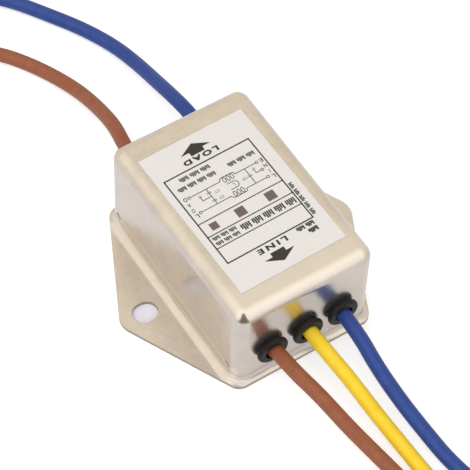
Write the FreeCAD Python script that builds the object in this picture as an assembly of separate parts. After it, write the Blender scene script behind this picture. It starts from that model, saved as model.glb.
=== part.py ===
# Single-phase EMI line filter: a deep-drawn steel can with ears, and free wire leads.
# Millimetres, +Z up, origin at the centre of the can's underside. The ears point along X.
# Three LINE leads leave the wall at -Y and two LOAD leads leave the wall at +Y.
import FreeCAD, Part
import os
from math import acos, atan2, cos, hypot, pi, radians, sin, sqrt, tan

V = FreeCAD.Vector

# Can: one drawn sheet with a narrow rim and two slotted ears
can_width = 29.4
can_length = 45.0
can_height = 22.5
sheet = 0.8
corner_radius = 2.5
top_radius = 2.4
rim_width = 0.9
rim_corner_radius = 2.7
flare_radius = 1.8
slot_pitch = 41.2
ear_reach = 5.05
ear_radius = 4.0
slot_width = 4.4
slot_length = 5.1

# Stakes: ball dents in the walls that lock the bottom plate
stake_height = 4.3
stake_ball = 1.0
stake_depth = 0.35
end_stake_spread = 5.5
side_stake_spread = 19.3

# Rating label on the top
label_width = 22.8
label_length = 34.2
label_thickness = 0.1
label_turn = 1.26

# Grommets and the wall holes that they snap into
lead_pitch = 7.7
lead_height = 9.1
wall_hole = 4.8
grommet_bore = 3.6
outer_flange_diameter = 6.4
outer_flange = 1.1
grommet_gap = 0.4
inner_flange_diameter = 5.8
inner_flange = 1.2
grommet_rounding = 0.5

# Leads: insulated stranded wire, stripped and tinned at both ends
wire_diameter = 2.9
strand_diameter = 1.4
stripped_length = 6.0
inner_insulation = 2.2
inner_strand = 0.3
inner_bend = 1.4

# Bottom plate: a shallow pressed tray with an upright skirt
plate_thickness = 0.8
plate_recess = 0.3
plate_clearance = 0.05
plate_bend = 1.2
skirt_height = 5.5
stake_clearance = 0.15

# Circuit board, resting on the skirt
board_thickness = 1.6
board_side_gap = 0.3
board_end_gap = 1.7
board_corner = 1.0
pin_overhang = 0.9
pin_clearance = 0.1
solder_diameter = 2.4
solder_height = 0.8
solder_collar = 0.15

# Insulating card between the solder side and the bottom plate
card_thickness = 0.25
card_gap = 0.2

# Choke: ferrite ring, two windings, and a moulded base whose fin parts them
core_outer = 16.0
core_inner = 9.0
core_height = 7.0
core_chamfer = 0.5
choke_y = 1.5
coil_wire = 0.9
turn_width = 1.2
turns = 9
coil_margin = 22.0
coil_gap = 0.05
base_thickness = 1.0
base_width = 7.0
base_corner = 1.0
fin_thickness = 1.0
fin_clearance = 0.2

# Film capacitor across the line, and two disc capacitors to earth
film_width = 17.5
film_depth = 5.5
film_headroom = 3.3
film_rounding = 0.6
film_pitch = 15.0
film_y = -12.2
disc_diameter = 7.5
disc_thickness = 3.2
disc_rounding = 1.2
disc_pitch = 5.0
disc_x = 4.2
disc_y = 13.5
disc_lift = 1.6
pin_diameter = 0.8

# Earth tab: welded to the bottom plate, soldered into the board
tab_width = 3.0
tab_thickness = 0.5
tab_foot = 3.0
tab_above_board = 1.2
tab_inset = 3.7

# Each free lead: where its grommet sits, the side it leaves by, and its route from the
# grommet's face outwards. A route leaves straight, droops to the surface that the can stands
# on, and lies there on the wire's own radius.
leads = {
    "line_wire_live": (-lead_pitch, -1, [
        (-7.4, -24.0, 9.0), (-7.4, -29.5, 9.0), (-5.5, -35.5, 8.3), (-3.9, -42.5, 5.6),
        (-1.5, -49.5, 3.2), (0.5, -57.0, 1.7), (1.5, -65.0, 1.45), (0.8, -73.0, 1.45),
        (-2.0, -80.4, 1.45), (-6.8, -86.6, 1.45), (-13.3, -91.0, 1.45), (-20.8, -93.0, 1.45)]),
    "line_wire_earth": (0.0, -1, [
        (0.3, -24.0, 9.0), (0.3, -29.5, 9.0), (0.9, -35.5, 8.3), (2.3, -42.5, 5.6),
        (3.4, -49.5, 3.2), (4.0, -57.0, 1.7), (5.2, -65.0, 1.45), (5.8, -73.0, 1.45),
        (5.0, -81.0, 1.45), (2.6, -88.6, 1.45), (-1.3, -95.5, 1.45), (-6.6, -101.3, 1.45)]),
    "line_wire_neutral": (lead_pitch, -1, [
        (7.6, -24.0, 9.0), (7.6, -29.5, 9.0), (6.9, -35.5, 8.3), (7.5, -42.5, 5.6),
        (8.7, -49.5, 3.2), (10.2, -57.0, 1.7), (12.6, -65.0, 1.45), (16.5, -72.0, 1.45),
        (20.1, -79.1, 1.45), (22.7, -86.6, 1.45), (23.9, -94.5, 1.45), (23.6, -102.5, 1.45)]),
    "load_wire_live": (-lead_pitch, 1, [
        (-7.4, 24.0, 9.0), (-7.4, 29.5, 9.0), (-5.7, 35.5, 8.3), (-5.0, 42.5, 5.6),
        (-5.5, 49.5, 3.2), (-7.3, 56.0, 1.7), (-9.7, 61.6, 1.45), (-13.1, 66.9, 1.45),
        (-17.8, 71.4, 1.45), (-22.6, 76.6, 1.45), (-26.5, 82.5, 1.45), (-29.0, 89.1, 1.45)]),
    "load_wire_neutral": (lead_pitch, 1, [
        (7.9, 24.0, 9.0), (7.9, 29.5, 9.0), (7.8, 35.5, 8.3), (8.1, 42.5, 5.6),
        (8.0, 49.5, 3.2), (7.1, 57.0, 1.7), (4.1, 64.5, 1.45), (-0.3, 71.5, 1.45),
        (-4.9, 78.4, 1.45), (-10.8, 84.4, 1.45), (-15.8, 91.0, 1.45), (-19.2, 98.5, 1.45)]),
}

# Places that follow from the sizes above
half_x = can_width / 2
half_y = can_length / 2
ear_span = slot_pitch + 2 * ear_reach
inner_x = half_x - sheet
inner_y = half_y - sheet
tab_y = inner_y - tab_inset
grommet_face = half_y + grommet_gap + outer_flange
insulation_end = inner_y - inner_flange - inner_insulation
solder_y = insulation_end - inner_strand - inner_bend
plate_x = inner_x - plate_clearance
plate_y = inner_y - plate_clearance
plate_corner = corner_radius - sheet - plate_clearance
plate_floor = plate_recess + plate_thickness
board_bottom = plate_recess + skirt_height
board_top = board_bottom + board_thickness
pin_bottom = board_bottom - pin_overhang
film_height = can_height - sheet - board_top - film_headroom
coil_bottom = board_top + base_thickness
core_bottom = coil_bottom + coil_wire
core_top = core_bottom + core_height
coil_top = core_top + coil_wire
coil_in = core_inner / 2 - coil_wire
coil_out = core_outer / 2 + coil_wire


def belt(circles, z=0.0):
    """Face inside a belt round circles (x, y, radius) that are listed counter-clockwise."""
    count = len(circles)
    normals = []
    for i in range(count):
        x1, y1, r1 = circles[i]
        x2, y2, r2 = circles[(i + 1) % count]
        run = hypot(x2 - x1, y2 - y1)
        normals.append(atan2(y2 - y1, x2 - x1) - acos((r1 - r2) / run))
    edges = []
    for i in range(count):
        x, y, r = circles[i]
        start = normals[i - 1]
        end = normals[i]
        while end < start:
            end += 2 * pi
        arc = [V(x + r * cos(a), y + r * sin(a), z) for a in (start, (start + end) / 2, end)]
        edges.append(Part.Arc(*arc).toShape())
        x2, y2, r2 = circles[(i + 1) % count]
        landing = V(x2 + r2 * cos(normals[i]), y2 + r2 * sin(normals[i]), z)
        edges.append(Part.LineSegment(arc[2], landing).toShape())
    return Part.Face(Part.Wire(edges))


def corner_circles(hx, hy, r):
    """Corner circles of a rounded rectangle with half sizes hx and hy, counter-clockwise."""
    return [(sx * (hx - r), sy * (hy - r), r) for sx, sy in ((1, -1), (1, 1), (-1, 1), (-1, -1))]


def rounded_block(hx, hy, r, z0, z1):
    """Upright block with rounded vertical corners between two heights."""
    return belt(corner_circles(hx, hy, r), z0).extrude(V(0, 0, z1 - z0))


def level_edges(shape, z, reach_x=None, reach_y=None):
    """Edges that lie at height z, of those within the given reach of the middle."""
    found = []
    for edge in shape.Edges:
        box = edge.BoundBox
        level = abs(box.ZMin - z) < 1e-5 and abs(box.ZMax - z) < 1e-5
        near = reach_x is None or (box.XMax < reach_x and -box.XMin < reach_x
                                   and box.YMax < reach_y and -box.YMin < reach_y)
        if level and near:
            found.append(edge)
    return found


def upright(x, y, radius, z0, z1):
    """Upright cylinder between two heights."""
    return Part.makeCylinder(radius, z1 - z0, V(x, y, z0))


def outward(side, x, z, radius, y0, y1):
    """Cylinder on a lead's axis from y0 to y1, both counted outwards on the given side."""
    return Part.makeCylinder(radius, y1 - y0, V(x, side * y0, z), V(0, side, 0))


def stakes():
    """Ball centre and outward direction of each stake."""
    out = stake_ball - stake_depth
    places = []
    for s in (-1, 1):
        for t in (-1, 1):
            places.append((V(t * end_stake_spread, s * (half_y + out), stake_height), V(0, s, 0)))
            places.append((V(s * (half_x + out), t * side_stake_spread, stake_height), V(s, 0, 0)))
    return places


def make_can():
    """Drawn can: round top, walls that flare out, trimmed rim, slotted ears, holes and stakes."""
    spare = 2 * flare_radius
    blank = rounded_block(ear_span / 2 + spare, half_y + spare, corner_radius, 0.0, sheet)
    drawn = rounded_block(half_x, half_y, corner_radius, 0.0, can_height)
    drawn = drawn.makeFillet(top_radius, level_edges(drawn, can_height))
    body = drawn.fuse(blank).removeSplitter()
    flare = level_edges(body, sheet, half_x + 0.1 * rim_width, half_y + 0.1 * rim_width)
    body = body.makeFillet(flare_radius, flare)
    hollow = rounded_block(inner_x, inner_y, corner_radius - sheet, 0.0, can_height - sheet)
    hollow = hollow.makeFillet(top_radius - sheet, level_edges(hollow, can_height - sheet))
    body = body.cut(hollow)
    mouth = level_edges(body, 0.0, inner_x + 0.1 * sheet, inner_y + 0.1 * sheet)
    body = body.makeFillet(flare_radius + sheet, mouth)
    rim = corner_circles(half_x + rim_width, half_y + rim_width, rim_corner_radius)
    apex = ear_span / 2 - ear_radius
    outline = [rim[0], (apex, 0.0, ear_radius), rim[1], rim[2], (-apex, 0.0, ear_radius), rim[3]]
    body = body.common(belt(outline).extrude(V(0, 0, can_height)))
    for x in (-slot_pitch / 2, slot_pitch / 2):
        half_run = (slot_length - slot_width) / 2
        slot = belt([(x + half_run, 0.0, slot_width / 2), (x - half_run, 0.0, slot_width / 2)], -1.0)
        body = body.cut(slot.extrude(V(0, 0, sheet + 2.0)))
    for place, side, route in leads.values():
        body = body.cut(outward(side, place, lead_height, wall_hole / 2, inner_y - 1, half_y + 1))
    for centre, direction in stakes():
        within = V(abs(direction.x), abs(direction.y), 0) * (-sheet / 2)
        room = V(half_x, half_y, can_height) + within
        walls = Part.makeBox(2 * room.x, 2 * room.y, room.z, V(-room.x, -room.y, 0))
        bump = Part.makeSphere(stake_ball + sheet, centre).common(walls)
        body = body.fuse(bump).cut(Part.makeSphere(stake_ball, centre))
    return body.removeSplitter()


def make_bottom_plate():
    """Pressed tray: floor, bent edge and skirt, with a hole at each stake."""
    tray = rounded_block(plate_x, plate_y, plate_corner, plate_recess, board_bottom)
    tray = tray.makeFillet(plate_bend, level_edges(tray, plate_recess))
    room = rounded_block(plate_x - plate_thickness, plate_y - plate_thickness,
                         plate_corner - plate_thickness, plate_floor, board_bottom)
    room = room.makeFillet(plate_bend - plate_thickness, level_edges(room, plate_floor))
    tray = tray.cut(room)
    rise = stake_ball - stake_depth + sheet
    radius = sqrt((stake_ball + sheet) ** 2 - rise ** 2) + stake_clearance
    for centre, direction in stakes():
        depth = rise + 2 * plate_thickness
        tray = tray.cut(Part.makeCylinder(radius, depth, centre, direction * -1))
    return tray


def make_label():
    """Rating label: a thin sheet, stuck on a little askew."""
    label = Part.makeBox(label_width, label_length, label_thickness,
                         V(-label_width / 2, -label_length / 2, can_height))
    label.rotate(V(0, 0, 0), V(0, 0, 1), label_turn)
    return label


def make_grommet(x, side):
    """Rubber grommet: flanges with round rims, neck in the wall and a little proud of it, bore."""
    z = lead_height
    rim = outward(side, x, z, outer_flange_diameter / 2, half_y + grommet_gap, grommet_face)
    rim = rim.makeFillet(grommet_rounding, ring_edges(rim, outer_flange_diameter / 2))
    neck = outward(side, x, z, wall_hole / 2, inner_y, half_y + grommet_gap)
    tail = outward(side, x, z, inner_flange_diameter / 2, inner_y - inner_flange, inner_y)
    tail = tail.makeFillet(grommet_rounding, ring_edges(tail, inner_flange_diameter / 2))
    bore = outward(side, x, z, grommet_bore / 2, inner_y - 2 * inner_flange, 2 * half_y)
    return rim.fuse([neck, tail]).removeSplitter().cut(bore)


def ring_edges(shape, radius):
    """Circular edges of the given radius."""
    return [edge for edge in shape.Edges
            if hasattr(edge.Curve, "Radius") and abs(edge.Curve.Radius - radius) < 1e-6]


def unit(a, b):
    """Direction from point a to point b."""
    step = b - a
    return step * (1 / step.Length)


def wide_radii(points):
    """Radius of the arc at each inner point of a route, as large as its two runs allow."""
    radii = []
    for before, corner, after in zip(points, points[1:], points[2:]):
        turn = unit(before, corner).getAngle(unit(corner, after))
        shorter = min((corner - before).Length, (after - corner).Length)
        radii.append(0.45 * shorter / tan(turn / 2))
    return radii


def rounded_path(points, radii):
    """Straight runs joined by tangent arcs of the given radii."""
    edges = []
    here = points[0]
    for before, corner, after, radius in zip(points, points[1:], points[2:], radii):
        first = unit(before, corner)
        last = unit(corner, after)
        turn = first.getAngle(last)
        setback = radius * tan(turn / 2)
        start = corner - first * setback
        end = corner + last * setback
        centre = corner + unit(first, last) * (radius / cos(turn / 2))
        middle = centre + unit(centre, corner) * radius
        edges.append(Part.LineSegment(here, start).toShape())
        edges.append(Part.Arc(start, middle, end).toShape())
        here = end
    edges.append(Part.LineSegment(here, points[-1]).toShape())
    return Part.Wire(edges)


def swept_round(path, start, direction, diameter):
    """Round bar of the given diameter along a path."""
    profile = Part.Wire(Part.makeCircle(diameter / 2, start, direction))
    return path.makePipeShell([profile], True, True)


def make_wire(name, route):
    """Free insulated lead from the grommet's face to where its insulation ends."""
    points = [V(*point) for point in route]
    radii = wide_radii(points)
    path = rounded_path(points, radii)
    wire = swept_round(path, points[0], unit(points[0], points[1]), wire_diameter)
    expected = pi * wire_diameter ** 2 / 4 * path.Length
    print(f"{name}: length {path.Length:.1f}, radii " + " ".join(f"{r:.0f}" for r in radii)
          + f", volume {wire.Volume:.1f} of {expected:.1f}")
    return wire


def make_stripped_end(route):
    """Tinned strand that stands out of the lead's free end."""
    end = V(*route[-1])
    return Part.makeCylinder(strand_diameter / 2, stripped_length, end, unit(V(*route[-2]), end))


def make_inner_lead(side, route):
    """The same lead inside: insulation through the bore, then the strand down to the board."""
    x, y, z = route[0]
    insulation = outward(side, x, z, wire_diameter / 2, insulation_end, grommet_face)
    corner = V(x, side * solder_y, z)
    points = [V(x, side * insulation_end, z), corner, V(corner.x, corner.y, pin_bottom)]
    path = rounded_path(points, [inner_bend])
    strand = swept_round(path, points[0], V(0, -side, 0), strand_diameter)
    return insulation.fuse(strand)


def film_pins():
    """Pin places of the film capacitor."""
    return [(s * film_pitch / 2, film_y) for s in (-1, 1)]


def disc_pins(side):
    """Pin places of the disc capacitor on one side."""
    return [(side * disc_x + s * disc_pitch / 2, disc_y) for s in (-1, 1)]


def coil_pins(side):
    """Places where a winding's two ends go down into the board."""
    reach = coil_out - coil_wire / 2
    lean = radians(coil_margin)
    return [(side * reach * sin(lean), choke_y + s * reach * cos(lean)) for s in (-1, 1)]


def solder_places():
    """Place and pin diameter of each soldered joint."""
    places = [(route[0][0], side * solder_y, strand_diameter) for x, side, route in leads.values()]
    places += [(x, y, pin_diameter) for x, y in film_pins()]
    for side in (-1, 1):
        places += [(x, y, pin_diameter) for x, y in disc_pins(side)]
        places += [(x, y, coil_wire) for x, y in coil_pins(side)]
    return places


def tab_slot(clearance, z0, z1):
    """Upright strip of the earth tab, widened by a clearance."""
    return Part.makeBox(tab_width + 2 * clearance, tab_thickness + 2 * clearance, z1 - z0,
                        V(-tab_width / 2 - clearance, tab_y - clearance, z0))


def tab_foot_block(clearance, z0, z1):
    """Foot of the earth tab on the bottom plate, widened by a clearance."""
    return Part.makeBox(tab_width + 2 * clearance, tab_foot + 2 * clearance, z1 - z0,
                        V(-tab_width / 2 - clearance, tab_y + tab_thickness - tab_foot - clearance, z0))


def make_circuit_board():
    """Board that lies on the skirt, drilled for every pin and slotted for the earth tab."""
    board = rounded_block(inner_x - board_side_gap, inner_y - board_end_gap, board_corner,
                          board_bottom, board_top)
    for x, y, diameter in solder_places():
        board = board.cut(upright(x, y, diameter / 2 + pin_clearance, board_bottom, board_top))
    return board.cut(tab_slot(pin_clearance, board_bottom, board_top))


def make_solder_joints():
    """Solder cones round the pins, under the board."""
    joints = []
    for x, y, diameter in solder_places():
        tip = diameter / 2 + solder_collar
        low = board_bottom - solder_height
        cone = Part.makeCone(tip, max(solder_diameter / 2, 2 * tip), solder_height, V(x, y, low))
        joints.append(cone.cut(upright(x, y, diameter / 2, low, board_bottom)))
    low = board_bottom - solder_height
    across = tab_width / 2 + solder_collar
    heap = Part.makeCone(across, across + solder_collar, solder_height,
                         V(0, tab_y + tab_thickness / 2, low))
    joints.append(heap.cut(tab_slot(0.0, low, board_bottom)))
    return Part.makeCompound(joints)


def make_insulating_card():
    """Card on the plate's floor, cut out for the earth tab's foot."""
    card = rounded_block(plate_x - plate_bend - card_gap, plate_y - plate_bend - card_gap,
                         board_corner, plate_floor, plate_floor + card_thickness)
    return card.cut(tab_foot_block(card_gap, plate_floor, plate_floor + card_thickness))


def make_earth_tab():
    """Bent tab: a foot on the bottom plate and a strip up through the board."""
    strip = tab_slot(0.0, plate_floor, board_top + tab_above_board)
    foot = tab_foot_block(0.0, plate_floor, plate_floor + tab_thickness)
    return strip.fuse(foot).removeSplitter()


def make_core():
    """Ferrite ring with chamfered edges."""
    at = V(0, choke_y, core_bottom)
    ring = Part.makeCylinder(core_outer / 2, core_height, at)
    ring = ring.cut(Part.makeCylinder(core_inner / 2, core_height, at))
    rims = ring_edges(ring, core_outer / 2) + ring_edges(ring, core_inner / 2)
    return ring.makeChamfer(core_chamfer, rims)


def make_winding(side):
    """One winding: turns that close up in the ring's hole and fan out round its rim."""
    height = coil_top - coil_bottom
    at = V(coil_in, -turn_width / 2, coil_bottom)
    turn = Part.makeBox(coil_out - coil_in, turn_width, height, at)
    long_edges = [e for e in turn.Edges if e.BoundBox.XLength < 1e-6 and e.BoundBox.ZLength < 1e-6]
    turn = turn.makeFillet(coil_wire / 2, long_edges)
    width = (core_outer - core_inner) / 2 + 2 * coil_gap
    turn = turn.cut(Part.makeBox(width, turn_width, core_height + 2 * coil_gap,
                                 V(core_inner / 2 - coil_gap, -turn_width / 2, core_bottom - coil_gap)))
    step = (180 - 2 * coil_margin) / (turns - 1)
    pieces = []
    for i in range(turns):
        copy = turn.copy()
        facing = 0 if side > 0 else 180
        copy.rotate(V(0, 0, 0), V(0, 0, 1), facing + side * (coil_margin + i * step - 90))
        copy.translate(V(0, choke_y, 0))
        pieces.append(copy)
    for x, y in coil_pins(side):
        pieces.append(upright(x, y, coil_wire / 2, pin_bottom, core_bottom))
    return pieces[0].fuse(pieces[1:]).removeSplitter()


def make_choke_base():
    """Moulded base on the board, with the fin that stands between the windings."""
    half_length = coil_out + coil_wire / 2
    base = rounded_block(base_width / 2, half_length, base_corner, board_top, coil_bottom)
    fin_length = core_inner - 2 * fin_clearance
    fin = Part.makeBox(fin_thickness, fin_length, coil_top - coil_bottom,
                       V(-fin_thickness / 2, -fin_length / 2, coil_bottom))
    base = base.fuse(fin)
    base.translate(V(0, choke_y, 0))
    for side in (-1, 1):
        for x, y in coil_pins(side):
            base = base.cut(upright(x, y, coil_wire / 2 + pin_clearance, board_top, coil_bottom))
    return base.removeSplitter()


def make_film_capacitor():
    """Boxed film capacitor that stands on the board."""
    case = Part.makeBox(film_width, film_depth, film_height,
                        V(-film_width / 2, film_y - film_depth / 2, board_top))
    outer = [e for e in case.Edges if e.BoundBox.ZMax > board_top + 1e-6]
    case = case.makeFillet(film_rounding, outer)
    for x, y in film_pins():
        case = case.fuse(upright(x, y, pin_diameter / 2, pin_bottom, board_top))
    return case


def make_disc_capacitor(side):
    """Dipped disc capacitor on two pins."""
    z = board_top + disc_lift + disc_diameter / 2
    disc = Part.makeCylinder(disc_diameter / 2, disc_thickness,
                             V(side * disc_x, disc_y - disc_thickness / 2, z), V(0, 1, 0))
    disc = disc.makeFillet(disc_rounding, ring_edges(disc, disc_diameter / 2))
    for x, y in disc_pins(side):
        disc = disc.fuse(upright(x, y, pin_diameter / 2, pin_bottom, z))
    return disc.removeSplitter()


def main():
    """Build every piece and write one file for each."""
    pieces = {
        "can": make_can(),
        "bottom_plate": make_bottom_plate(),
        "rating_label": make_label(),
        "circuit_board": make_circuit_board(),
        "solder_joints": make_solder_joints(),
        "insulating_card": make_insulating_card(),
        "earth_tab": make_earth_tab(),
        "choke_core": make_core(),
        "choke_winding_live": make_winding(-1),
        "choke_winding_neutral": make_winding(1),
        "choke_base": make_choke_base(),
        "film_capacitor": make_film_capacitor(),
        "disc_capacitor_live": make_disc_capacitor(-1),
        "disc_capacitor_neutral": make_disc_capacitor(1),
    }
    for name, (x, side, route) in leads.items():
        pieces[name] = make_wire(name, route)
        pieces[name.replace("wire", "grommet")] = make_grommet(x, side)
        pieces[name.replace("wire", "inner_lead")] = make_inner_lead(side, route)
        pieces[name.replace("wire", "stripped_end")] = make_stripped_end(route)
    os.makedirs("parts", exist_ok=True)
    for name, shape in pieces.items():
        print(f"{name}: valid {shape.isValid()}, solids {len(shape.Solids)}, volume {shape.Volume:.2f}")
        shape.exportStep(f"parts/{name}.step")


main()
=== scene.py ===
# EMI line filter: the looks of its can, label, grommets and leads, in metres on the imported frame.
# +Z is up and the can stands on z = 0. LINE leads leave at -Y and LOAD leads at +Y.
import bpy, bmesh
from math import cos, hypot, pi, radians, sin
from mathutils import Matrix, Vector


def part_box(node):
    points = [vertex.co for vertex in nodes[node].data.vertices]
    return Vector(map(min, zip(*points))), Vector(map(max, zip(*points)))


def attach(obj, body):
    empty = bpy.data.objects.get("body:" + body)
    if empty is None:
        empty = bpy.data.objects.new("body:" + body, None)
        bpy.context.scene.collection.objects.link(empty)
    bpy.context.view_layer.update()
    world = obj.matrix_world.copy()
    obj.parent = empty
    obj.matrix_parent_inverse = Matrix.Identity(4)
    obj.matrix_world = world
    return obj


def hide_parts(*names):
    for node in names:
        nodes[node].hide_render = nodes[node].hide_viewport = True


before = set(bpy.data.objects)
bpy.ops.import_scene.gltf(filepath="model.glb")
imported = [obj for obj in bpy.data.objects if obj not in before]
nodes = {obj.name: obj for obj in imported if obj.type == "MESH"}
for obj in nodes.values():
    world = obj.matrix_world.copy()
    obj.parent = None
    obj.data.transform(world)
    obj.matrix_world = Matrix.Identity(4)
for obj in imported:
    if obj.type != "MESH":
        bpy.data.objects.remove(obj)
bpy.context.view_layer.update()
mm = 0.001

# Leads, in millimetres: the source's routes, moved by under 2 mm to where the photograph shows them
wire_diameter = 2.9
strand_diameter = 1.4
stripped_length = 6.0
outer_wires = 12
points_per_wire = 6
strand_twist = radians(140)
twist_steps = 24
routes = {
    "line_wire_live": [
        (-7.3, -24.0, 9.1), (-7.1, -29.5, 9.6), (-5.4, -35.5, 8.2), (-3.7, -42.5, 5.6),
        (-1.6, -49.5, 3.2), (0.15, -57.0, 1.7), (1.1, -65.0, 1.45), (0.4, -73.0, 1.45),
        (-2.3, -80.4, 1.45), (-6.9, -86.6, 1.45), (-13.3, -91.0, 1.45), (-20.8, -93.0, 1.45)],
    "line_wire_earth": [
        (0.3, -24.0, 9.0), (0.4, -29.5, 9.15), (1.05, -35.5, 8.4), (2.1, -42.5, 5.6),
        (3.3, -49.5, 3.2), (4.15, -57.0, 1.7), (5.45, -65.0, 1.45), (6.1, -73.0, 1.45),
        (5.2, -81.0, 1.45), (2.6, -88.6, 1.45), (-1.3, -95.5, 1.45), (-6.6, -101.3, 1.45)],
    "line_wire_neutral": [
        (7.6, -24.0, 9.0), (7.5, -29.5, 8.9), (6.8, -35.5, 8.3), (7.4, -42.5, 5.6),
        (8.45, -49.5, 3.2), (9.4, -57.0, 1.7), (11.5, -65.0, 1.45), (15.3, -72.0, 1.45),
        (19.2, -79.1, 1.45), (22.3, -86.6, 1.45), (23.9, -94.5, 1.45), (23.6, -102.5, 1.45)],
    "load_wire_live": [
        (-7.3, 24.0, 9.05), (-7.1, 29.5, 9.45), (-5.75, 35.5, 8.15), (-5.25, 42.5, 5.6),
        (-5.45, 49.5, 3.2), (-6.95, 56.0, 1.7), (-9.6, 61.6, 1.45), (-13.1, 66.9, 1.45),
        (-17.8, 71.4, 1.45), (-22.6, 76.6, 1.45), (-26.5, 82.5, 1.45), (-29.0, 89.1, 1.45)],
    "load_wire_neutral": [
        (7.9, 24.0, 9.0), (7.95, 29.5, 9.15), (7.7, 35.5, 8.3), (7.9, 42.5, 5.6),
        (8.0, 49.5, 3.2), (7.05, 57.0, 1.7), (3.9, 64.5, 1.45), (-0.4, 71.5, 1.45),
        (-4.85, 78.4, 1.45), (-10.7, 84.4, 1.45), (-15.8, 91.0, 1.45), (-19.2, 98.5, 1.45)],
}

# Heights at which pins leave the board and the disc capacitors, and where inner insulation ends
board_top = 7.4
disc_foot = 8.8
insulation_end = 18.3

# Dents of the can's stakes, one on each wall and its mirror images: the ball's place across and
# along the can, the height above its centre at which the lip's painted shade starts, and whether the
# dent is scuffed and painted darker. All centres are at one height, and a dent's faces lie within its
# reach of the centre.
stakes = ((5.5, 23.15, 0.1, False), (15.35, 19.3, -0.45, True))
stake_height = 4.3
stake_reach = 1.05

# Cut edges of the can: upright faces below this height and outside the walls, which are rounded
# round these corner centres
rim_top = 1.4
corner_across, corner_along = 12.2, 20.0
corner_reach = 3.0

# Slots of the ears: how far each is from the middle, and the radius of the shade on the floor
slot_centre = 20.6
slot_shade = 2.8

# Rating label: its turn on the can, the height of its ink, and the strokes of its print
label_turn = radians(1.26)
ink_height = 0.03
frame_stroke = 0.27
row_stroke = 0.2
circuit_stroke = 0.14

# Print of the label, from its centre: the frame's edges and rows, the words with the box that each
# fills, its weight and its letter spacing, and the letters beside the terminals
frame_left, frame_right, frame_low, frame_high = -8.75, 9.86, -10.58, 10.47
frame_rows = (0.69, 3.94, 6.86)
words = (
    ("LINE", -2.22, 11.05, 4.11, 12.2, 0.04, 1.4), ("LOAD", -2.97, -12.58, 4.58, -11.4, 0.05, 1.4),
    ("L", -0.95, -3.65, -0.55, -3.05, 0.0, 1.0), ("CX", -3.6, -3.6, -2.6, -3.05, 0.0, 1.0),
    ("CY", 2.25, -2.5, 3.25, -1.95, 0.0, 1.0), ("CY", 2.25, -4.0, 3.25, -3.45, 0.0, 1.0))
terminal_letters = ((-8.0, "LINE"), (8.78, "LOAD"))
letter_places = (-1.0, -2.4, -3.78, -5.22)
letter_half_width, letter_half_height, narrow_half_width = 0.32, 0.43, 0.06
letter_weight = 0.01

# Rows of plain strokes: the box of each, how many steps it has, and a stroke's share of its step
stroke_rows = (
    (-8.25, 4.75, 3.6, 6.2, 29, 0.74), (4.3, 5.6, 9.4, 6.4, 17, 0.74), (4.3, 4.4, 9.4, 5.2, 17, 0.74),
    (-7.9, -7.95, -2.1, -7.0, 17, 0.74), (0.7, -7.95, 8.8, -7.0, 23, 0.74),
    (0.8, -9.75, 7.4, -8.8, 17, 0.74), (-8.3, 12.2, -6.3, 13.2, 5, 0.9),
    (-8.3, 10.85, -4.55, 11.8, 11, 0.85), (-9.9, 1.9, -9.1, 10.1, 29, 0.74))

# Plain squares in the row beside the circuit: the middle and half width of each
square_row = 2.35
squares = ((-5.0, 1.0), (1.6, 1.0), (7.4, 0.8))

# Circuit on the label: its three levels, from the LINE end to the LOAD end where its terminals,
# earth signs, capacitors and coils stand, and the places and half sizes of a coil's oval turns
upper, middle, lower = -1.39, -3.33, -5.22
earth_foot = -4.2
terminal_radius = 0.27
terminal_stroke = 0.13
line_terminal, line_start = -7.0, -6.75
line_earth = -5.67
across_line = -4.28
coil_left, coil_right = -2.2, 1.1
to_earth = 4.19
load_earth = 6.1
load_end, load_terminal = 7.65, 7.92
turn_places = (-1.44, -0.61, 0.22)
turn_half_width, turn_half_height = 0.29, 0.6

# Camera: fitted to the straight edges of the can, 470 x 470 pixels
camera_place = (-0.139148, -0.197467, 0.367445)
camera_azimuth = radians(-35.045)
camera_elevation = radians(55.919)
camera_roll = radians(2.898)
camera_lens = 176.52
camera_shift = (-0.00236, 0.00208)


def linear(colour):
    """Linear colour of an sRGB hex value."""
    parts = [int(colour[i:i + 2], 16) / 255 for i in (1, 3, 5)]
    return [c / 12.92 if c <= 0.04045 else ((c + 0.055) / 1.055) ** 2.4 for c in parts] + [1.0]


def add(tree, kind, sockets, **settings):
    """Adds a node, with its settings and with a value or a link for each named socket."""
    node = tree.nodes.new("ShaderNode" + kind)
    for name, value in settings.items():
        setattr(node, name, value)
    for socket, value in sockets.items():
        if isinstance(value, bpy.types.NodeSocket):
            tree.links.new(value, node.inputs[socket])
        else:
            node.inputs[socket].default_value = value
    return node


def empty_material(name):
    """New material with an empty tree."""
    material = bpy.data.materials.new(name)
    material.use_nodes = True
    material.node_tree.nodes.clear()
    return material, material.node_tree


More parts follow.
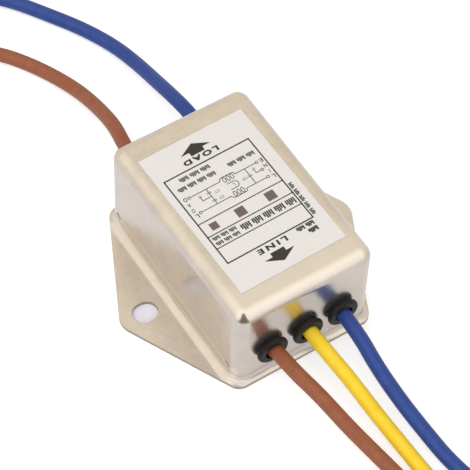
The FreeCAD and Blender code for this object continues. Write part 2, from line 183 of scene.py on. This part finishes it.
def finish(name, deep, light, patch, rough, grain, relief, stretch=(1, 1, 1), **sockets):
    """Material in soft patches between two tones and two roughnesses, with a fine grain in its
    skin. Patch, grain and relief are in millimetres, and stretch draws the grain out."""
    material, tree = empty_material(name)
    place = add(tree, "TexCoord", {}).outputs["Object"]
    patches = add(tree, "TexNoise", {
        "Vector": place, "Scale": 1 / (patch * mm), "Detail": 5.0, "Roughness": 0.68}).outputs["Fac"]
    tone = add(tree, "ValToRGB", {"Fac": patches})
    for stop, position, colour in zip(tone.color_ramp.elements, (0.3, 0.7), (deep, light)):
        stop.position = position
        stop.color = linear(colour)
    gloss = add(tree, "MapRange", {
        "Value": patches, "From Min": 0.3, "From Max": 0.7, "To Min": rough[0], "To Max": rough[1]})
    drawn_out = add(tree, "Mapping", {"Vector": place, "Scale": stretch})
    skin = add(tree, "TexNoise", {
        "Vector": drawn_out.outputs[0], "Scale": 1 / (grain * mm), "Detail": 3.0})
    bump = add(tree, "Bump", {"Height": skin.outputs["Fac"], "Strength": 0.5, "Distance": relief * mm})
    named = {socket.replace("_", " "): value for socket, value in sockets.items()}
    surface = add(tree, "BsdfPrincipled", {
        "Base Color": tone.outputs["Color"], "Roughness": gloss.outputs["Result"],
        "Normal": bump.outputs["Normal"], **named})
    add(tree, "OutputMaterial", {"Surface": surface.outputs[0]})
    return material


def tinned_within(body, name, axis, limit):
    """The body's material, which turns to tinned wire where the piece's coordinate is under a limit."""
    material = body.copy()
    material.name = name
    tree = material.node_tree
    out = tree.nodes["Material Output"].inputs["Surface"]
    place = add(tree, "TexCoord", {}).outputs["Object"]
    along = add(tree, "SeparateXYZ", {"Vector": place}).outputs[axis]
    size = add(tree, "Math", {0: along}, operation="ABSOLUTE").outputs[0]
    inside = add(tree, "Math", {0: size, 1: limit * mm}, operation="LESS_THAN").outputs[0]
    wire = add(tree, "BsdfPrincipled", {
        "Base Color": linear("#C9C8C4"), "Metallic": 1.0, "Roughness": 0.3})
    both = add(tree, "MixShader", {0: inside, 1: out.links[0].from_socket, 2: wire.outputs[0]})
    tree.links.new(both.outputs[0], out)
    return material


def paint_highlight_band(material, out, start, along, low, high, colour):
    """Lightens a band as a painted highlight, for a brighter reflection: from low to high along one
    axis, and only beyond a distance on the axis that the face looks out on, in millimetres."""
    fade = 0.8
    tree = material.node_tree
    base = tree.nodes["Principled BSDF"].inputs["Base Color"]
    place = add(tree, "TexCoord", {}).outputs["Object"]
    axes = add(tree, "SeparateXYZ", {"Vector": place}).outputs
    rise = add(tree, "MapRange", {"Value": axes[along], "From Min": low * mm, "From Max": high * mm})
    aside = add(tree, "Math", {0: axes[out]}, operation="ABSOLUTE").outputs[0]
    side = add(tree, "MapRange", {
        "Value": aside, "From Min": start * mm, "From Max": (start + fade) * mm})
    band = add(tree, "ValToRGB", {"Fac": rise.outputs["Result"]})
    for position, share in ((0.0, 0.0), (0.3, 1.0), (0.6, 0.8), (1.0, 0.0)):
        ramp = band.color_ramp.elements
        stop = ramp[0] if position == 0.0 else ramp[-1] if position == 1.0 else ramp.new(position)
        stop.color = (share, share, share, 1.0)
    highlighted_share = add(tree, "Math", {0: band.outputs["Color"], 1: side.outputs["Result"]},
                 operation="MULTIPLY").outputs[0]
    both = add(tree, "Mix", {0: highlighted_share, 6: base.links[0].from_socket, 7: linear(colour)},
               data_type="RGBA")
    tree.links.new(both.outputs[2], base)


# Tin-plated steel drawn in a press: a soft mirror with broad dull clouds, and a fine skin that the
# press has drawn out down the walls
steel = finish("drawn_tin_plated_steel", "#C7C0BA", "#D6CDC8", 5, (0.19, 0.28), 0.35, 0.04,
               stretch=(1, 1, 0.06), Metallic=0.94)
# Painted highlights: a lighter band low on the side walls and along the top's front margin, for
# brighter reflections there
paint_highlight_band(steel, out="X", start=13.8, along="Z", low=1.2, high=5.4, colour="#EAE3DC")
paint_highlight_band(steel, out="Z", start=21.5, along="Y", low=-24.0, high=-14.0, colour="#DAD2CF")
# Cut edge of the same sheet: bare steel with the scores of the die, duller and darker. It is also
# laid on the upper lip of each stake's dent as painted shade.
cut_edge_and_lip_shade = finish("sheared_steel_edge_and_painted_lip_shade", "#9C948E", "#B3AAA2", 0.5, (0.45, 0.6), 0.15, 0.03,
                 stretch=(1, 1, 0.1), Metallic=1.0)
# The same plate in the dents of the side walls' stakes: rougher where the tool scuffed it, so that
# it mirrors less, and darker as painted shade in the hollow
scuffed_and_shaded_dent = finish("staked_tin_plate", "#A9A29B", "#B8B1AA", 0.5, (0.5, 0.62), 0.15, 0.03,
                 Metallic=0.94)
# White polyester label: even and satin, faintly mottled by its glue
film = finish("white_polyester_film", "#E9E5E1", "#EDE9E5", 2.5, (0.4, 0.44), 2.5, 0.006)
# Thermal-transfer ink: nearly matt, and uneven where the ribbon missed
black_ink = finish("black_ribbon_ink", "#1D1917", "#2C2725", 0.4, (0.5, 0.6), 0.2, 0.002)
brown_ink = finish("brown_ribbon_ink", "#5F534B", "#75685F", 0.4, (0.5, 0.6), 0.2, 0.002)
# Moulded rubber: black and satin, with a grey bloom and a fine skin
rubber = finish("moulded_black_rubber", "#171616", "#232222", 2, (0.45, 0.55), 0.25, 0.012,
                Specular_IOR_Level=0.2)
# Extruded PVC insulation: an even colour, softly glossy, with a slight wave in its skin
insulations = {
    colour: finish(name + "_extruded_pvc", deep, light, 1.6, (0.38, 0.46), 0.2, 0.004,
                   Specular_IOR_Level=0.35)
    for colour, name, deep, light in (
        ("live", "brown", "#8F5034", "#9E5E42"), ("earth", "yellow", "#FDD020", "#FFDD3A"),
        ("neutral", "blue", "#233E89", "#2F4C98"))}
# Tinned copper strand: bright grey, with pools of duller solder
tin = finish("tinned_copper_strand", "#B9B8B4", "#D8D7D3", 0.6, (0.2, 0.45), 0.1, 0.004, Metallic=1.0)
# Pressed tin-plated steel of the earth tab: brighter than the can, as it was never drawn
tab_steel = finish("tin_plated_steel_strip", "#C9C6C0", "#DAD7D1", 3, (0.18, 0.26), 0.3, 0.006,
                   stretch=(0.1, 1, 1), Metallic=1.0)
# Glass laminate under green resist: satin, with the weave of the cloth just felt
laminate = finish("green_glass_laminate", "#2E6443", "#38734D", 4, (0.3, 0.4), 0.5, 0.01)
# Solder: bright and smooth, with dull frosted pools
solder = finish("tin_solder", "#B4B6B8", "#D5D7D8", 0.8, (0.15, 0.4), 0.3, 0.01, Metallic=1.0)
# Pressboard: tan and dry, with long fibres
pressboard = finish("tan_pressboard", "#B49A68", "#CBB486", 1.5, (0.7, 0.85), 0.3, 0.02,
                    stretch=(0.1, 1, 1))
# Ferrite ring under a thin coat: near black, with the grit of the sintered core
ferrite = finish("coated_ferrite", "#2B2D30", "#3D4043", 1, (0.45, 0.6), 0.15, 0.02)
# Enamelled copper wire: warm metal under clear glossy enamel
copper = finish("enamelled_copper_wire", "#A8562C", "#C57242", 1.2, (0.2, 0.3), 0.2, 0.004,
                Metallic=1.0, Coat_Weight=0.6, Coat_Roughness=0.08)
# Moulded nylon: ivory, waxy and slightly clear
nylon = finish("ivory_moulded_nylon", "#D8D2BF", "#E4DFCE", 3, (0.42, 0.5), 0.3, 0.008,
               Subsurface_Weight=0.1, Subsurface_Scale=0.5 * mm)
# Moulded capacitor box: yellow, with the fine spark grain of its mould
case = finish("yellow_moulded_case", "#D9A51E", "#E6B52F", 3, (0.4, 0.5), 0.12, 0.012)
# Dipped epoxy: glossy blue, a little lumpy where the dip ran
epoxy = finish("blue_dipped_epoxy", "#1F5C99", "#2C6DAC", 2, (0.15, 0.25), 1.2, 0.05,
               Coat_Weight=0.3)


def dress(node, material):
    """Gives a CAD node its material."""
    for slot in nodes[node].material_slots:
        slot.material = material


def dress_cut_edges_and_dent_shade(node, edge, dent):
    """Gives the upright faces round the can's rim, ears and slots the material of a cut edge, and the
    upper lip of each stake's dent the same darker material as painted shade. The rest of a scuffed
    dent gets its own rougher material, darkened as painted shade."""
    mesh = nodes[node].data
    mesh.materials.append(dent)
    mesh.materials.append(edge)
    for face in mesh.polygons:
        across, along, height = (abs(c) / mm for c in face.center)
        outside = hypot(max(across - corner_across, 0), max(along - corner_along, 0)) > corner_reach
        upright = abs(face.normal.z) < 0.1
        dented = [(height > stake_height + lip, scuff_and_shade) for x, y, lip, scuff_and_shade in stakes
                  if hypot(across - x, along - y, height - stake_height) < stake_reach]
        if any(scuff_and_shade for _, scuff_and_shade in dented):
            face.material_index = len(mesh.materials) - 2
        if (upright and outside and height < rim_top) or any(lip for lip, _ in dented):
            face.material_index = len(mesh.materials) - 1


def lay_strand(node, foot, ahead):
    """Stripped end of a lead: tinned strand whose outer wires show as lobes in a gentle twist."""
    aside = ahead.orthogonal().normalized()
    above = ahead.cross(aside)
    thin = strand_diameter / 10
    off = strand_diameter / 2 - thin
    art = bmesh.new()
    rim = []
    for i in range(points_per_wire * outer_wires):
        lean = (i % points_per_wire / points_per_wire - 0.5) * 2 * pi / outer_wires
        turn = i // points_per_wire * 2 * pi / outer_wires + lean
        reach = off * cos(lean) + max(thin ** 2 - (off * sin(lean)) ** 2, 0) ** 0.5
        rim.append(art.verts.new((foot + reach * (cos(turn) * aside + sin(turn) * above)) * mm))
    ring_of_edges = [art.edges.new((a, b)) for a, b in zip(rim, rim[1:] + rim[:1])]
    bmesh.ops.spin(art, geom=ring_of_edges, cent=foot * mm, axis=ahead, angle=strand_twist,
                   dvec=ahead * (stripped_length / twist_steps * mm), steps=twist_steps)
    bmesh.ops.holes_fill(art, edges=art.edges, sides=0)
    bmesh.ops.recalc_face_normals(art, faces=art.faces)
    for face in art.faces:
        face.smooth = len(face.verts) == 4
    mesh = bpy.data.meshes.new(node + "_strand")
    art.to_mesh(mesh)
    art.free()
    mesh.materials.append(tin)
    strand = bpy.data.objects.new(node + "_strand", mesh)
    bpy.context.scene.collection.objects.link(strand)
    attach(strand, "root")
    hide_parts(node.replace("wire", "stripped_end"))
    return strand


def lay_lead(node, route):
    """A free lead as one smooth spline along its route, with the tinned strand at its end."""
    colour = node.split("_")[-1]
    line = bpy.data.curves.new(node + "_run", "CURVE")
    line.dimensions = "3D"
    line.bevel_depth = wire_diameter / 2 * mm
    line.bevel_resolution = 8
    line.resolution_u = 12
    line.use_fill_caps = True
    spline = line.splines.new("NURBS")
    spline.points.add(len(route) - 1)
    for point, place in zip(spline.points, route):
        point.co = (*(Vector(place) * mm), 1.0)
    spline.order_u = 3
    spline.use_endpoint_u = True
    line.materials.append(insulations[colour])
    run = bpy.data.objects.new(node + "_run", line)
    bpy.context.scene.collection.objects.link(run)
    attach(run, "root")
    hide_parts(node)
    end = Vector(route[-1])
    strand = lay_strand(node, end, (end - Vector(route[-2])).normalized())


for node, route in routes.items():
    lay_lead(node, route)

for node, material in (
        ("can", steel), ("bottom_plate", steel), ("rating_label", film), ("circuit_board", laminate),
        ("solder_joints", solder), ("insulating_card", pressboard), ("earth_tab", tab_steel),
        ("choke_core", ferrite), ("choke_base", nylon)):
    dress(node, material)
# Cut edges, with painted shade on the stake dents' lips and in the side walls' dents
dress_cut_edges_and_dent_shade("can", cut_edge_and_lip_shade, scuffed_and_shaded_dent)
winding = tinned_within(copper, "enamelled_copper_wire_tinned_ends", "Z", board_top)
dress("choke_winding_live", winding)
dress("choke_winding_neutral", winding)
dress("film_capacitor", tinned_within(case, "yellow_moulded_case_on_tinned_pins", "Z", board_top))
discs = tinned_within(epoxy, "blue_dipped_epoxy_on_tinned_pins", "Z", disc_foot)
dress("disc_capacitor_live", discs)
dress("disc_capacitor_neutral", discs)
for colour, insulation in insulations.items():
    stripped = tinned_within(insulation, insulation.name + "_stripped", "Y", insulation_end)
    for node in nodes:
        if node.endswith("inner_lead_" + colour):
            dress(node, stripped)
        if node.endswith("grommet_" + colour):
            dress(node, rubber)


def bar(art, u0, v0, u1, v1):
    """Printed bar between two corners of the label, in millimetres."""
    corners = bmesh.ops.create_grid(art, x_segments=1, y_segments=1, size=0.5)["verts"]
    bmesh.ops.scale(art, vec=(u1 - u0, v1 - v0, 1), verts=corners)
    bmesh.ops.translate(art, vec=((u0 + u1) / 2, (v0 + v1) / 2, 0), verts=corners)


def rule_line(art, u0, v0, u1, v1, stroke):
    """Printed line, level or upright, with the stroke centred on it."""
    half = stroke / 2
    bar(art, min(u0, u1) - half, min(v0, v1) - half, max(u0, u1) + half, max(v0, v1) + half)


def ring(art, u, v, radius, stroke):
    """Printed ring, as a terminal in a circuit."""
    inner = bmesh.ops.create_circle(art, segments=32, radius=radius - stroke / 2)["verts"]
    edges = list({edge for vert in inner for edge in vert.link_edges})
    pulled = bmesh.ops.extrude_edge_only(art, edges=edges)["geom"]
    outer = [piece for piece in pulled if isinstance(piece, bmesh.types.BMVert)]
    grow = (radius + stroke / 2) / (radius - stroke / 2)
    bmesh.ops.scale(art, vec=(grow, grow, 1), verts=outer)
    bmesh.ops.translate(art, vec=(u, v, 0), verts=inner + outer)


def arrow(art, side):
    """Broad arrow that points off the label's end."""
    outline = [(-0.6, 12.85), (-0.6, 13.75), (-2.35, 13.75), (0.86, 15.4), (4.1, 13.75),
               (2.35, 13.75), (2.35, 12.85)]
    corners = [art.verts.new((u, side * v, 0)) for u, v in outline]
    art.faces.new(corners if side < 0 else corners[::-1])


def pen_line(art, points, stroke):
    """Curved printed line through points."""
    line = bpy.data.curves.new("pen_line", "CURVE")
    line.dimensions = "3D"
    line.bevel_depth = stroke / 2
    line.bevel_resolution = 1
    spline = line.splines.new("POLY")
    spline.points.add(len(points) - 1)
    for point, (u, v) in zip(spline.points, points):
        point.co = (u, v, 0, 1)
    flatten_into(art, line, Matrix.Diagonal((1, 1, 0.05, 1)))


def word(art, text, u0, v0, u1, v1, weight, spacing=1.0):
    """Generic lettering that fills a box of the label."""
    letters = bpy.data.curves.new("letters", "FONT")
    letters.body = text
    letters.offset = weight
    letters.space_character = spacing
    shape = bpy.data.objects.new("letters", letters)
    bpy.context.scene.collection.objects.link(shape)
    bpy.context.view_layer.update()
    low, high = Vector(shape.bound_box[0]), Vector(shape.bound_box[6])
    bpy.data.objects.remove(shape)
    size = high - low
    fit = Matrix.Diagonal(((u1 - u0) / size.x, (v1 - v0) / size.y, 1, 1))
    to_origin = Matrix.Translation((-low.x, -low.y, 0))
    flatten_into(art, letters, Matrix.Translation((u0, v0, 0)) @ fit @ to_origin)


def flatten_into(art, curve, place):
    """Adds a curve or lettering to the artwork as a mesh."""
    shape = bpy.data.objects.new("stroke", curve)
    mesh = bpy.data.meshes.new_from_object(shape)
    mesh.transform(place)
    art.from_mesh(mesh)
    bpy.data.objects.remove(shape)
    bpy.data.meshes.remove(mesh)
    bpy.data.curves.remove(curve)


def plain_strokes(art, u0, v0, u1, v1, count, share):
    """Row of plain short strokes in groups of five, each as wide as its share of the step."""
    along_u = u1 - u0 > v1 - v0
    run = (u1 - u0 if along_u else v1 - v0) / count
    for i in range(count):
        if i % 6 == 5:
            continue
        short = 0.3 if i % 3 == 1 else 0.0
        if along_u:
            bar(art, u0 + i * run, v0, u0 + (i + share) * run, v1 - short * (v1 - v0))
        else:
            bar(art, u0 + short * (u1 - u0), v0 + i * run, u1, v0 + (i + share) * run)


def coil(art, v, side):
    """Choke winding: three oval turns, with the line passing beside them."""
    for u in turn_places:
        oval = [(u + turn_half_width * cos(pi * t / 8),
                 v - side * 0.1 + turn_half_height * sin(pi * t / 8)) for t in range(17)]
        pen_line(art, oval, circuit_stroke)
    pen_line(art, [(coil_left, v), (-2.1, v + side * 0.4), (-1.85, v + side * 0.6),
                   (0.65, v + side * 0.6), (0.98, v + side * 0.4), (coil_right, v)], circuit_stroke)


def earth_sign(art, u, v):
    """Earth symbol at the foot of a line."""
    for step, half in enumerate((0.36, 0.24, 0.12)):
        rule_line(art, u - half, v - 0.2 * step, u + half, v - 0.2 * step, 0.06)


def capacitor(art, u, v_top, v_bottom, v_gap):
    """Upright line with the two plates of a capacitor in it."""
    rule_line(art, u, v_top, u, v_gap + 0.13, circuit_stroke)
    rule_line(art, u, v_gap - 0.13, u, v_bottom, circuit_stroke)
    for v in (v_gap + 0.13, v_gap - 0.13):
        rule_line(art, u - 0.4, v, u + 0.4, v, 0.1)


def place_print(name, art, ink):
    """Puts finished artwork on the label, just proud of the film."""
    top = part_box("rating_label")[1].z
    place = Matrix.Translation((0, 0, top + ink_height * mm)) @ Matrix.Rotation(label_turn + pi, 4, "Z")
    bmesh.ops.transform(art, matrix=place @ Matrix.Diagonal((mm, mm, mm, 1)), verts=art.verts)
    mesh = bpy.data.meshes.new(name)
    art.to_mesh(mesh)
    art.free()
    mesh.materials.append(ink)
    piece = bpy.data.objects.new(name, mesh)
    bpy.context.scene.collection.objects.link(piece)
    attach(piece, "root")


# Black print: frame, rows, arrows, words, the circuit with its letters, and the plain strokes
black = bmesh.new()
for v in frame_rows:
    rule_line(black, frame_left, v, frame_right, v, row_stroke)
for v in (frame_low, frame_high):
    rule_line(black, frame_left, v, frame_right, v, frame_stroke)
for u in (frame_left, frame_right):
    rule_line(black, u, frame_low, u, frame_high, frame_stroke)
for side in (-1, 1):
    arrow(black, side)
for entry in words:
    word(black, *entry)
for v in (upper, lower):
    ring(black, line_terminal, v, terminal_radius, terminal_stroke)
    ring(black, load_terminal, v, terminal_radius, terminal_stroke)
    rule_line(black, line_start, v, coil_left, v, circuit_stroke)
    rule_line(black, coil_right, v, load_end, v, circuit_stroke)
coil(black, upper, 1)
coil(black, lower, -1)
ring(black, line_terminal, middle, terminal_radius, terminal_stroke)
rule_line(black, line_start, middle, line_earth, middle, circuit_stroke)
rule_line(black, line_earth, middle, line_earth, earth_foot, circuit_stroke)
earth_sign(black, line_earth, earth_foot)
capacitor(black, across_line, upper, lower, middle)
capacitor(black, to_earth, upper, middle, -2.3)
capacitor(black, to_earth, middle, lower, earth_foot)
rule_line(black, to_earth, middle, load_earth, middle, circuit_stroke)
rule_line(black, load_earth, middle, load_earth, earth_foot, circuit_stroke)
earth_sign(black, load_earth, earth_foot)
pen_line(black, [(0.35, -2.6), (-0.9, -2.6)] + [
    (-0.95 - 0.75 * sin(pi * t / 12), middle + 0.73 * cos(pi * t / 12)) for t in range(13)]
    + [(-0.9, -4.06), (0.35, -4.06)], circuit_stroke)
for u, letters in terminal_letters:
    for v, letter in zip(letter_places, letters):
        half = narrow_half_width if letter == "I" else letter_half_width
        word(black, letter, u - half, v - letter_half_height, u + half, v + letter_half_height,
             letter_weight)
for row in stroke_rows:
    plain_strokes(black, *row)
place_print("label_black_print", black, black_ink)

# Brown print: plain squares, the last one smaller
brown = bmesh.new()
for u, half in squares:
    bar(brown, u - half, square_row - half, u + half, square_row + half)
place_print("label_brown_print", brown, brown_ink)


# Studio: a floor, two cards, a world and lamps. The floor is white where no shadow falls.
def stage_piece(name, corners, material):
    """Flat piece of the studio through a few corners."""
    sheet = bmesh.new()
    sheet.faces.new([sheet.verts.new(c) for c in corners])
    mesh = bpy.data.meshes.new(name)
    sheet.to_mesh(mesh)
    sheet.free()
    mesh.materials.append(material)
    piece = bpy.data.objects.new(name, mesh)
    bpy.context.scene.collection.objects.link(piece)
    return piece


def mirror_only(piece):
    """Keeps a card out of sight, so that it shows in mirrored light alone."""
    piece.visible_camera = False
    piece.visible_diffuse = False
    piece.visible_shadow = False


def from_can(azimuth, elevation, distance):
    """Place seen from the can at an azimuth from -Y towards +X, and an elevation, in degrees."""
    a, e = radians(azimuth), radians(elevation)
    return Vector((sin(a) * cos(e), -cos(a) * cos(e), sin(e))) * distance


pale_floor, tree = empty_material("pale_matt_floor")
rays = add(tree, "LightPath", {})
folded = add(tree, "VectorMath", {0: add(tree, "TexCoord", {}).outputs["Object"]}, operation="ABSOLUTE")
# Within slot_shade of each ear slot's centre the floor loses its glow and its even mirrored white and
# is tinted lilac-grey: painted shade under the slots
away = add(tree, "VectorMath", {0: folded.outputs[0], 1: (slot_centre * mm, 0, 0)},
           operation="DISTANCE")
open_floor = add(tree, "Math", {0: away.outputs["Value"], 1: slot_shade * mm},
                 operation="GREATER_THAN").outputs[0]
bright = add(tree, "Math", {0: rays.outputs["Is Camera Ray"], 1: 0.5}, operation="MULTIPLY")
glow = add(tree, "Math", {0: bright.outputs[0], 1: open_floor}, operation="MULTIPLY")
tone = add(tree, "Mix", {0: open_floor, 6: linear("#E9E7F1"), 7: linear("#E5E6E7")}, data_type="RGBA")
matt = add(tree, "BsdfDiffuse", {"Color": tone.outputs[2]})
lift = add(tree, "Emission", {"Strength": glow.outputs[0]})
both = add(tree, "AddShader", {0: matt.outputs[0], 1: lift.outputs[0]})
even = add(tree, "Emission", {"Color": linear("#FFFCF8"), "Strength": 1.25})
mirrored = add(tree, "Math", {0: rays.outputs["Is Glossy Ray"], 1: 0.5}, operation="MULTIPLY")
share = add(tree, "Math", {0: mirrored.outputs[0], 1: open_floor}, operation="MULTIPLY")
either = add(tree, "MixShader", {0: share.outputs[0], 1: both.outputs[0], 2: even.outputs[0]})
add(tree, "OutputMaterial", {"Surface": either.outputs[0]})
stage_piece("floor", [(-2, -2, 0), (2, -2, 0), (2, 2, 0), (-2, 2, 0)], pale_floor)

# Dark card off the can's rounded front corner, as small as gives its dark reflection there
dark_room, tree = empty_material("dark_room")
dull = add(tree, "BsdfDiffuse", {"Color": linear("#A39688")}).outputs[0]
add(tree, "OutputMaterial", {"Surface": dull})
outward = from_can(-30, 20, 1.0)
across = from_can(60, 0, 1.0)
upward = outward.cross(across)
front_corner = Vector((-13.7, -21.5, 21.0))
dark_card_distance = 9.0
card_centre = front_corner + dark_card_distance * outward
dark_outline = (
    (-3.2, 14.5), (-3.6, 8.0), (-4.2, 4.0), (-5.0, 1.0), (-6.6, -2.0), (-8.5, -4.5), (-10.5, -8.0),
    (11.0, -8.0), (8.2, -4.0), (6.5, 0.0), (4.2, 4.0), (3.2, 8.0), (3.2, 14.5))
mirror_only(stage_piece("dark_room", [
    (card_centre + u * across + v * upward) * mm for u, v in dark_outline], dark_room))

# Bright card low in front of the can that glows on its underside only, though it is no lamp, and
# shows only in mirrored light: painted light for the flared rim's bright reflection
rim_card, tree = empty_material("bright_card_below")
below = add(tree, "NewGeometry", {}).outputs["Backfacing"]
clear = add(tree, "BsdfTransparent", {}).outputs[0]
shine = add(tree, "Emission", {"Color": linear("#FFFCF4"), "Strength": 1.3}).outputs[0]
one_sided = add(tree, "MixShader", {0: below, 1: clear, 2: shine}).outputs[0]
add(tree, "OutputMaterial", {"Surface": one_sided})
rim_card_height = 6.2
bright_outline = ((-34, -46), (4, -46), (4, -24.5), (-16, -24.5), (-34, -16))
mirror_only(stage_piece("rim_card", [
    (x * mm, y * mm, rim_card_height * mm) for x, y in bright_outline], rim_card))

# World: white to the camera, and in reflections cream in front and overhead and beige behind
world = bpy.data.worlds.new("studio")
bpy.context.scene.world = world
world.use_nodes = True
tree = world.node_tree
tree.nodes.clear()
rays = add(tree, "LightPath", {})
way = add(tree, "TexCoord", {}).outputs["Generated"]
brightest_way = (-0.45, -0.6, 0.66)
ahead = add(tree, "VectorMath", {0: way, 1: brightest_way}, operation="DOT_PRODUCT")
turn = add(tree, "MapRange", {"Value": ahead.outputs["Value"], "From Min": -1.0})
sky = add(tree, "ValToRGB", {"Fac": turn.outputs["Result"]})
for place, colour in ((0.0, "#CAC4B0"), (0.564, "#D2CAB6"), (0.655, "#DFDCCB"), (0.71, "#E9E1CF"),
                      (0.83, "#F4F0E5")):
    stop = sky.color_ramp.elements[0] if place == 0.0 else sky.color_ramp.elements.new(place)
    stop.color = linear(colour)
sky.color_ramp.elements[-1].color = linear("#F8F6ED")
mirrored = add(tree, "Background", {"Color": sky.outputs["Color"], "Strength": 1.63})
light = add(tree, "Background", {"Color": linear("#FFFDFA"), "Strength": 0.5})
white = add(tree, "Background", {"Color": linear("#FFFFFF"), "Strength": 1.0})
lit = add(tree, "MixShader", {
    0: rays.outputs["Is Glossy Ray"], 1: light.outputs[0], 2: mirrored.outputs[0]})
pick = add(tree, "MixShader", {
    0: rays.outputs["Is Camera Ray"], 1: lit.outputs[0], 2: white.outputs[0]})
add(tree, "OutputWorld", {"Surface": pick.outputs[0]})


def hang_softbox(name, place, size, radiance):
    """Square white lamp that faces the can and shows in no mirrored light."""
    lamp = bpy.data.lights.new(name, "AREA")
    lamp.size = size
    lamp.energy = radiance * pi * size * size
    box = bpy.data.objects.new(name, lamp)
    box.location = place
    box.rotation_euler = (-place).to_track_quat("-Z", "Y").to_euler()
    box.visible_glossy = False
    bpy.context.scene.collection.objects.link(box)


hang_softbox("overhead_softbox", from_can(-110, 68, 1.0), 0.8, 2.1)
hang_softbox("front_softbox", from_can(-30, 38, 1.0), 0.8, 1.3)

# Camera
back = Vector((sin(camera_azimuth) * cos(camera_elevation),
               -cos(camera_azimuth) * cos(camera_elevation), sin(camera_elevation)))
level_right = (-back).cross(Vector((0, 0, 1))).normalized()
level_up = level_right.cross(-back)
right = cos(camera_roll) * level_right + sin(camera_roll) * level_up
up = -sin(camera_roll) * level_right + cos(camera_roll) * level_up
lens = bpy.data.cameras.new("camera")
lens.sensor_width = 36.0
lens.lens = camera_lens
lens.shift_x, lens.shift_y = camera_shift
camera = bpy.data.objects.new("camera", lens)
camera.matrix_world = Matrix.Translation(camera_place) @ Matrix((right, up, back)).transposed().to_4x4()
bpy.context.scene.collection.objects.link(camera)
bpy.context.scene.camera = camera
bpy.context.scene.view_settings.view_transform = "Standard"
